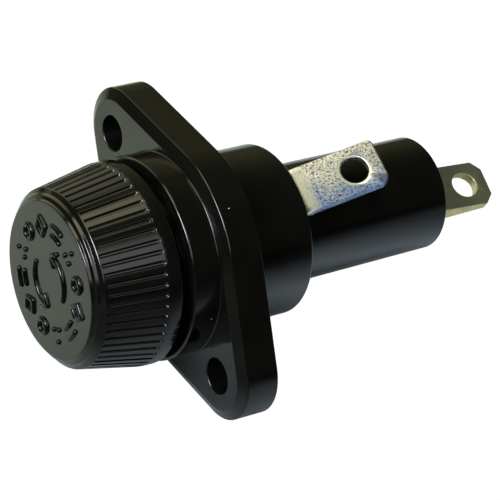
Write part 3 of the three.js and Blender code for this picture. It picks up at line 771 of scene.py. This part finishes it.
def split_across(bm, places):
    """Cut every face of a strip at these distances along it, so that it can bend there."""
    for x in places:
        geometry = bm.verts[:] + bm.edges[:] + bm.faces[:]
        bmesh.ops.bisect_plane(bm, geom=geometry, dist=1e-5, plane_co=(x, 0, 0),
                               plane_no=(1, 0, 0))


def side_terminal():
    """A flat strip with one hole, bent outwards where it leaves the body's shoulder."""
    run = SIDE_BEND_R * math.tan(SIDE_TILT / 2)
    leg = (SIDE_TOP_Z - SIDE_BEND_Z) - run
    bend = SIDE_BEND_R * SIDE_TILT
    length = leg + bend + SIDE_TIP_LENGTH - run
    hole_x = leg + bend + SIDE_HOLE_DISTANCE - run

    # Flat strip: its outer face is at z = 0 and the barrel's side is below.
    section = rounded([
        (1, -SIDE_THICKNESS, 0),
        (0, -SIDE_THICKNESS, 0.1),
        (0, 0, 0.22),
        (1, 0, 0),
    ], steps=4)[1:-1]
    hole = rounded([
        (TERMINAL_HOLE_R + 1, 0, 0),
        (TERMINAL_HOLE_R, 0, 0.2),
        (TERMINAL_HOLE_R, -SIDE_THICKNESS, 0.06),
        (TERMINAL_HOLE_R + 0.5, -SIDE_THICKNESS, 0),
    ], steps=4)[1:-1]
    bm = bmesh.new()
    slab(bm, strip_outline(length, SIDE_CORNERS), section, [((hole_x, 0), hole)])
    bends = 8
    split_across(bm, [leg + bend * k / bends for k in range(bends + 1)])

    def bent(along, depth):
        """(distance down the body, distance from the axis) of a point of the flat strip."""
        angle = min(max((along - leg) / SIDE_BEND_R, 0), SIDE_TILT)
        reach = SIDE_BEND_R + depth
        past = max(along - leg - bend, 0)
        before = min(along, leg)
        down = before + reach * math.sin(angle) + past * math.cos(SIDE_TILT)
        away = (SIDE_LEG_OUTER + SIDE_BEND_R - reach * math.cos(angle)
                + past * math.sin(SIDE_TILT))
        return down, away

    for v in bm.verts:
        down, away = bent(v.co.x, -v.co.z)
        v.co = Vector((v.co.y, -away, SIDE_TOP_Z - down))
        v.co = TERMINAL_TURN @ v.co
    down, away = bent(hole_x, 0)
    centre = TERMINAL_TURN @ Vector((0, -away, SIDE_TOP_Z - down)) * MM
    axis = TERMINAL_TURN @ Vector((0, -math.cos(SIDE_TILT), math.sin(SIDE_TILT)))
    across = TERMINAL_TURN @ Vector((-1, 0, 0))
    zinc = bright_zinc("bright_zinc", centre, axis, across)
    piece("side_terminal_strip", bm, zinc, "holder", "side_terminal")


def end_terminal():
    """A foot inside the barrel and a blade that leans outside it. The blade's -X side is sheared
    at a slant, wider behind at its root."""
    inside = REAR_WALL_Z + GAP + END_FOOT_THICKNESS / 2 - BARREL_REAR_Z
    root = inside + GAP
    section = rounded([
        (1, 0, 0),
        (0, 0, 0.08),
        (0, END_THICKNESS, 0.16),
        (1, END_THICKNESS, 0),
    ], steps=4)[1:-1]
    hole = rounded([
        (TERMINAL_HOLE_R + 1, END_THICKNESS, 0),
        (TERMINAL_HOLE_R, END_THICKNESS, 0.16),
        (TERMINAL_HOLE_R, 0, 0.08),
        (TERMINAL_HOLE_R + 1, 0, 0),
    ], steps=4)[1:-1]
    bm = bmesh.new()
    outline = strip_outline(inside + END_TIP_LENGTH, (END_CHAMFER, END_CHAMFER), chamfer=True)
    slab(bm, outline, section, [((inside + END_HOLE_DISTANCE, 0), hole)])
    step, neck = 0.02, 1.0
    split_across(bm, [root, root + step, root + neck])
    slant = END_TIP_LENGTH - END_CHAMFER
    for v in bm.verts:
        along, across, up = v.co
        below = along - inside
        on_slanted_edge = across < 0.3 - TERMINAL_WIDTH / 2
        if along > root + step / 2 and on_slanted_edge:
            behind = (END_THICKNESS - up) / END_THICKNESS
            across -= END_FLARE * behind * max(1 - below / slant, 0)
        place = Vector((across, END_THICKNESS - up, -below))
        if along > root + neck / 2:
            place = END_LEAN @ place
        v.co = TERMINAL_TURN @ (place + Vector((END_CENTRE_X, END_FRONT_Y, BARREL_REAR_Z)))
    foot = bmesh.new()
    low = REAR_WALL_Z + GAP
    high = low + END_FOOT_THICKNESS
    turn(foot, rounded([
        (0, high, 0),
        (END_FOOT_R, high, 0.15),
        (END_FOOT_R, low, 0.15),
        (0, low, 0),
    ]), even_angles(96))
    bm = combine(bm, foot, "UNION")
    obj = piece("end_terminal_strip", bm, DULL_BRASS, "holder", "end_terminal")
    obj.data.materials.append(SHEARED_BRASS)
    face = TERMINAL_TURN @ Vector((0, -1, 0))
    for polygon in obj.data.polygons:
        sheared = abs(polygon.normal.dot(face)) < 0.7
        polygon.material_index = 1 if sheared else 0


# ------------------------------------------------------------------ threads, clip and contact


def thread_height(z, angle):
    """The share of the thread's depth at a place: flat at root and crest, with a run-out at both
    ends."""
    run_out = 0.8
    phase = (z / THREAD_PITCH - angle / (2 * math.pi)) % 1
    wave = min(max(1.35 * (1 - abs(2 * phase - 1)) - 0.15, 0), 1)
    fade = min((THREAD_TOP_Z - z) / run_out, (z - THREAD_BOTTOM_Z) / run_out, 1)
    return wave * wave * (3 - 2 * wave) * max(fade, 0)


def thread_rows(radius):
    """(radius, z) rows from the thread's top to its bottom."""
    rows = 64
    drop = THREAD_TOP_Z - THREAD_BOTTOM_Z
    return [(radius, THREAD_TOP_Z - drop * k / rows) for k in range(rows + 1)]


def thread_sleeve():
    """The flanged sleeve in the body's mouth, with its thread inside."""
    root = SLEEVE_CREST_R + THREAD_DEPTH

    def relief(radius, z, angle):
        if radius > root + 0.01 or not THREAD_BOTTOM_Z <= z <= THREAD_TOP_Z:
            return radius
        return root - THREAD_DEPTH * thread_height(z, angle)

    lip_z = SLEEVE_HIGH.z - 0.7
    outside = rounded([
        (root, SLEEVE_LOW.z, 0),
        (SLEEVE_R, SLEEVE_LOW.z, 0.1),
        (SLEEVE_R, lip_z, 0.1),
        (SLEEVE_HIGH.x, lip_z, 0.2),
        (SLEEVE_HIGH.x, SLEEVE_HIGH.z, 0.25),
        (root, SLEEVE_HIGH.z, 0.2),
        (root, THREAD_TOP_Z, 0),
    ], steps=4)
    bm = bmesh.new()
    turn(bm, outside + thread_rows(root)[1:], even_angles(120), relief, closed=True)
    piece("sleeve_thread", bm, BRASS, "holder", "thread_sleeve")


def knob_shell():
    """The cup inside the knob, with its thread outside and a hole for the clip's rivet."""
    root = SHELL_R - THREAD_DEPTH

    def relief(radius, z, angle):
        if radius < root - 0.01 or not THREAD_BOTTOM_Z <= z <= THREAD_TOP_Z:
            return radius
        return root + THREAD_DEPTH * thread_height(z, angle)

    inside = rounded([
        (root, THREAD_BOTTOM_Z, 0),
        (root, SHELL_LOW.z, 0.2),
        (SHELL_BORE_R, SHELL_LOW.z, 0.15),
        (SHELL_BORE_R, SHELL_FLOOR_Z, 0.4),
        (RIVET_HOLE_R, SHELL_FLOOR_Z, 0.1),
        (RIVET_HOLE_R, SHELL_HIGH.z, 0.1),
        (root, SHELL_HIGH.z, 0.5),
        (root, THREAD_TOP_Z, 0),
    ], steps=4)
    bm = bmesh.new()
    turn(bm, inside + thread_rows(root)[1:-1], even_angles(120), relief, closed=True)
    piece("shell_thread", bm, BRASS, "knob", "knob_shell")


def fuse_clip():
    """A cup split into four fingers with flared ends."""
    bottom, top = CLIP_LOW.z, CLIP_HIGH.z
    wall, bore = 0.4, 5.45
    base = top - 0.6
    bm = bmesh.new()
    turn(bm, rounded([
        (RIVET_HOLE_R, top, 0.05),
        (bore + wall, top, 0.35),
        (bore + wall, bottom + 1, 1),
        (bore + wall + 0.2, bottom, 0.1),
        (bore + 0.2, bottom, 0.1),
        (bore, bottom + 1, 1),
        (bore, base, 0.15),
        (RIVET_HOLE_R, base, 0.05),
    ], steps=4, closed=True), even_angles(128), closed=True)
    reach = bore + 2
    half = 0.8
    below = bottom - 1
    height = base - 0.4 - half - below
    outline = [(0, -half), *arc(height, half, -math.pi / 2, math.pi / 2, 12), (0, half)]
    for degrees in (0, 90):
        slot = bmesh.new()
        slab(slot, lambda inset: outline, [(0, -reach), (0, reach)])
        for v in slot.verts:
            v.co = Vector((v.co.z, v.co.y, below + v.co.x))
        turned = Matrix.Rotation(math.radians(degrees), 3, "Z")
        bmesh.ops.rotate(slot, verts=slot.verts, matrix=turned)
        bm = combine(bm, slot, "DIFFERENCE")
    piece("clip_cup", bm, CLIP_STEEL, "clip", "fuse_clip")


def clip_rivet():
    """A rivet with two domed heads, which the knob turns round."""
    head, thick = 2.4, 0.5
    bm = bmesh.new()
    turn(bm, rounded([
        (0, RIVET_LOW.z, 0),
        (head * 0.7, RIVET_LOW.z, 0.6),
        (head, RIVET_LOW.z + thick, 0.05),
        (RIVET_SHAFT_R, RIVET_LOW.z + thick, 0.05),
        (RIVET_SHAFT_R, RIVET_HIGH.z - thick, 0.05),
        (head, RIVET_HIGH.z - thick, 0.05),
        (head * 0.7, RIVET_HIGH.z, 0.6),
        (0, RIVET_HIGH.z, 0),
    ]), even_angles(64))
    piece("clip_rivet_turned", bm, BRASS, "clip", "clip_rivet")


def contact_plunger():
    """A flat-faced contact with a thinner tail inside the spring."""
    face, bottom = PLUNGER_HIGH.z, PLUNGER_LOW.z
    radius = PLUNGER_HIGH.x
    bm = bmesh.new()
    turn(bm, rounded([
        (0, face, 0),
        (radius, face, 0.4),
        (radius, face - 1, 0.1),
        (2.6, face - 1, 0.1),
        (2.6, bottom, 0.4),
        (0, bottom, 0),
    ]), even_angles(96))
    piece("plunger_turned", bm, BRASS, "plunger", "contact_plunger")


def contact_spring():
    """A coil spring with closed ends."""
    wire, mean_r = 0.45, 4.1
    bottom, top = SPRING_LOW.z + wire, SPRING_HIGH.z - wire
    turns, per_turn, sides = 6, 48, 14
    end_pull = 0.21 * wire / (top - bottom)
    bm = bmesh.new()
    rings = []
    count = turns * per_turn
    for i in range(count + 1):
        turn_at = i / per_turn
        in_end_coil = 1 - min(turn_at, turns - turn_at, 1)
        t = i / count
        share = min(max(t + end_pull * in_end_coil * (1 if t > 0.5 else -1), 0), 1)
        angle = 2 * math.pi * turn_at
        out = Vector((math.cos(angle), math.sin(angle), 0))
        centre = out * mean_r + Vector((0, 0, bottom + (top - bottom) * share))
        ring = []
        for k in range(sides):
            a = 2 * math.pi * k / sides
            ring.append(bm.verts.new(centre + out * wire * math.cos(a)
                                     + Vector((0, 0, wire * math.sin(a)))))
        rings.append(ring)
    for lower, upper in zip(rings, rings[1:]):
        bridge(bm, lower, upper)
    bm.faces.new(rings[0])
    bm.faces.new(rings[-1])
    obj = piece("spring_coil", bm, SPRING_STEEL, "holder", "contact_spring")
    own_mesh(obj)


# ------------------------------------------------------------------ cartridge fuse


def ferrule(name, node, opening):
    """A drawn cap with a rounded rim and a bead rolled into the tube. opening is +1 when its open
    end faces +Z and -1 when it faces -Z."""
    low, high = box_mm(node)
    end_z = low.z if opening > 0 else high.z
    radius, length, wall, floor = high.x, high.z - low.z, 0.4, 0.5
    corners = [
        (0, 0, 0),
        (radius, 0, 0.35),
        (radius, length - 2.2, 0.3),
        (radius - 0.14, length - 1.9, 0.3),
        (radius - 0.14, length - 1.6, 0.3),
        (radius, length - 1.3, 0.3),
        (radius, length, 0.12),
        (radius - wall, length, 0.12),
        (radius - wall, floor, 0.1),
        (0, floor, 0),
    ]
    bm = bmesh.new()
    profile = [(r, end_z + opening * z) for r, z in rounded(corners, steps=4)]
    turn(bm, profile, even_angles(128))
    piece(name, bm, NICKEL, "fuse", node)


def fuse_tube():
    outer = TUBE_HIGH.x
    inner = outer - 0.9
    bm = bmesh.new()
    turn(bm, rounded([
        (outer, TUBE_HIGH.z, 0.1),
        (outer, TUBE_LOW.z, 0.1),
        (inner, TUBE_LOW.z, 0.1),
        (inner, TUBE_HIGH.z, 0.1),
    ], steps=3, closed=True), even_angles(96), closed=True)
    piece("tube_wound", bm, FIBRE, "fuse", "fuse_tube")


def cartridge_fuse():
    ferrule("ferrule_cap_rear", "fuse_ferrule_rear", 1)
    ferrule("ferrule_cap_front", "fuse_ferrule_front", -1)
    fuse_tube()


def dress_kept_nodes():
    """Materials for the small CAD nodes that are shown as they are."""
    for node, material in (("side_terminal_rivet", BRASS), ("fuse_element", ZINC)):
        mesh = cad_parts[node].data
        mesh.materials.clear()
        mesh.materials.append(material)


# ------------------------------------------------------------------ studio


def direction(azimuth, elevation):
    """A unit vector towards a place in the studio. Azimuth 0 is -Y and 90 is +X, in degrees."""
    a, e = math.radians(azimuth), math.radians(elevation)
    return Vector((math.sin(a) * math.cos(e), -math.cos(a) * math.cos(e), math.sin(e)))


CAMERA_AZIMUTH = -18.469
CAMERA_ELEVATION = 31.358
CAMERA_ROLL = 103.956
CAMERA_DISTANCE = 0.36584
CAMERA_AIM = Vector((-0.003437, -0.002515, -0.005839))
CAMERA_LENS = 189.0
SENSOR = 36.0


def add_camera():
    data = bpy.data.cameras.new("camera")
    data.lens = CAMERA_LENS
    data.sensor_width = SENSOR
    data.clip_start = 0.01
    obj = bpy.data.objects.new("camera", data)
    bpy.context.scene.collection.objects.link(obj)
    back = direction(CAMERA_AZIMUTH, CAMERA_ELEVATION)
    level_right = Vector((0, 0, 1)).cross(back).normalized()
    level_up = back.cross(level_right)
    roll = math.radians(CAMERA_ROLL)
    up = math.cos(roll) * level_up + math.sin(roll) * level_right
    right = up.cross(back)
    turned = Matrix((right, up, back)).transposed().to_4x4()
    obj.matrix_world = Matrix.Translation(CAMERA_AIM + back * CAMERA_DISTANCE) @ turned
    bpy.context.scene.camera = obj


# In the studio the part lies on a table, and this is the table's "up" in the row frame.
TABLE_UP = Vector((0.566, -0.814, 0.130)).normalized()


def stage_object(name, bm, material, matrix):
    """A piece of the studio that is seen only in reflections and blocks no light."""
    obj = new_object(name, bm, material)
    obj.matrix_world = matrix
    obj.visible_camera = False
    obj.visible_shadow = False


def facing(towards, distance):
    """The matrix of something that faces the part from a direction."""
    turned = towards.to_track_quat("Z", "Y").to_matrix().to_4x4()
    return Matrix.Translation(towards * distance) @ turned


def add_world():
    """A dark room with a dim warm glow on the +X side."""
    world = bpy.data.worlds.new("studio")
    bpy.context.scene.world = world
    world.use_nodes = True
    tree = world.node_tree
    where = add(tree, "ShaderNodeTexCoord").outputs["Generated"]
    glow = add(tree, "ShaderNodeVectorMath", {0: where, 1: direction(97, -6)},
               operation="DOT_PRODUCT")
    light = ramp(
        tree, glow.outputs["Value"],
        (0.55, (0.022, 0.022, 0.020)),
        (0.80, (0.08, 0.08, 0.04)),
        (0.93, (0.17, 0.16, 0.09)),
    )
    tree.links.new(light, tree.nodes["Background"].inputs["Color"])


def add_table():
    """The pale table under the part. Its colour is painted light: brightest behind the part, with
    painted shade to the front and one side.
    """
    front = direction(CAMERA_AZIMUTH, CAMERA_ELEVATION)
    front = (front - front.dot(TABLE_UP) * TABLE_UP).normalized()
    side = TABLE_UP.cross(front)
    level = min(Vector((x, y, 0)).dot(TABLE_UP) for x, y in flange_outline(0)) - GAP
    matrix = Matrix((side, -front, TABLE_UP)).transposed().to_4x4()
    matrix.translation = TABLE_UP * level * MM
    bm = bmesh.new()
    bmesh.ops.create_grid(bm, x_segments=1, y_segments=1, size=1.5)
    material, tree, shader = new_material("table_card")
    place = add(tree, "ShaderNodeSeparateXYZ", {"Vector": object_coordinates(tree)})

    def share(value, low, high, *stops):
        fraction = add(tree, "ShaderNodeMapRange",
                       {"Value": value, "From Min": low * MM, "From Max": high * MM})
        return ramp(tree, fraction.outputs["Result"], *stops)

    across, back = place.outputs["X"], place.outputs["Y"]
    # Painted light on the table: a cooler tint and dimmer colour to one side, painted shade
    # towards the front.
    tint = share(across, -60, 40, (0.2, (0.39, 0.45, 0.39)), (0.8, (0.52, 0.61, 0.70)))
    depth = share(back, -60, 90, (0.0, 0.10), (0.15, 0.14), (0.28, 0.55), (0.36, 0.85),
                  (0.55, 1.0), (0.9, (0.8, 0.8, 0.7)))
    width = share(across, 20, 160, (0.05, 1.0), (0.2, 0.55), (0.32, 0.3), (0.9, 0.1))
    colour = mix(tree, 1.0, tint, depth, "MULTIPLY")
    colour = mix(tree, 1.0, colour, width, "MULTIPLY")
    set_inputs(tree, shader, Base_Color=colour, Roughness=1.0, IOR=1.0)
    stage_object("table", bm, material, matrix)


def add_card(name, towards, width, height, colour):
    """A glowing card that faces the part. It fades out at its sides and towards its bottom."""
    distance = 0.35
    bm = bmesh.new()
    bmesh.ops.create_grid(bm, x_segments=1, y_segments=1, size=0.5)
    bmesh.ops.scale(bm, vec=(width, height, 1), verts=bm.verts)
    material, tree, shader = new_material(name)
    place = add(tree, "ShaderNodeSeparateXYZ", {"Vector": object_coordinates(tree)})
    rise = add(tree, "ShaderNodeMapRange", {"Value": place.outputs["Y"],
                                            "From Min": -height / 2, "From Max": height / 2})
    swing = add(tree, "ShaderNodeMapRange", {"Value": place.outputs["X"],
                                             "From Min": -width / 2, "From Max": width / 2})
    fade = ramp(tree, rise.outputs["Result"], (0.0, 0.15), (0.2, 0.8), (0.5, 1.0))
    sides = ramp(tree, swing.outputs["Result"], (0.0, 0.0), (0.2, 1.0), (0.8, 1.0), (1.0, 0.0))
    light = mix(tree, 1.0, fade, sides, "MULTIPLY")
    light = mix(tree, 1.0, light, tuple(c / max(colour) for c in colour), "MULTIPLY")
    set_inputs(tree, shader, Base_Color=(0, 0, 0, 1), Roughness=1.0, IOR=1.0,
               Emission_Color=light, Emission_Strength=max(colour))
    stage_object(name, bm, material, facing(towards, distance))


def add_lamp(name, towards, distance, size, radiance):
    """A white square light that faces the part and doesn't show in reflections."""
    data = bpy.data.lights.new(name, "AREA")
    data.size = size
    data.energy = radiance * math.pi * size * size
    obj = bpy.data.objects.new(name, data)
    bpy.context.scene.collection.objects.link(obj)
    obj.matrix_world = facing(towards, distance)
    obj.visible_glossy = False


def add_cove():
    """A plain pale floor that curves up into a round wall. Only the camera sees it, and it lies
    low enough for views from below."""
    floor_z, wall_r, bend, top_z = -0.8, 2.5, 0.8, 3.0
    profile = rounded([(0, floor_z, 0), (wall_r, floor_z, bend), (wall_r, top_z, 0)], steps=12)
    bm = bmesh.new()
    turn(bm, profile)
    for face in bm.faces:
        face.smooth = True
    material, tree, shader = new_material("cove_paper")
    where = object_coordinates(tree)
    tone = ramp(tree, noise(tree, where, 6, 3), (0.3, (0.86, 0.87, 0.87)), (0.7, (0.9, 0.9, 0.9)))
    set_inputs(tree, shader, Base_Color=tone, Roughness=0.9, Emission_Color=(1, 1, 1, 1),
               Emission_Strength=1.0)
    obj = new_object("cove", bm, material)
    obj.visible_glossy = False
    obj.visible_diffuse = False
    obj.visible_shadow = False


def add_studio():
    """The camera, the cove that it sees, and a dim room with a table, cards and two lamps that
    only the part sees."""
    add_camera()
    add_world()
    add_cove()
    add_table()
    add_card("side_card", direction(92, 4), 0.45, 0.34, (0.95, 0.90, 0.60))
    add_card("warm_card", direction(40, 20), 0.20, 0.56, (2.6, 2.5, 1.7))
    add_card("plain_card", direction(-14, 20), 0.26, 0.56, (1.6, 1.6, 1.6))
    add_card("high_card", direction(12, 52), 0.18, 0.14, (26.0, 26.0, 28.0))
    add_lamp("key", TABLE_UP, 0.45, 0.2, 13.0)
    add_lamp("overhead", direction(150, 70), 0.7, 0.5, 1.6)
    bpy.context.scene.view_settings.view_transform = "Standard"


# ------------------------------------------------------------------ build

moulded_body()
fluted_knob()
knob_marks()
side_terminal()
end_terminal()
thread_sleeve()
knob_shell()
fuse_clip()
clip_rivet()
contact_plunger()
contact_spring()
cartridge_fuse()
dress_kept_nodes()
add_studio()
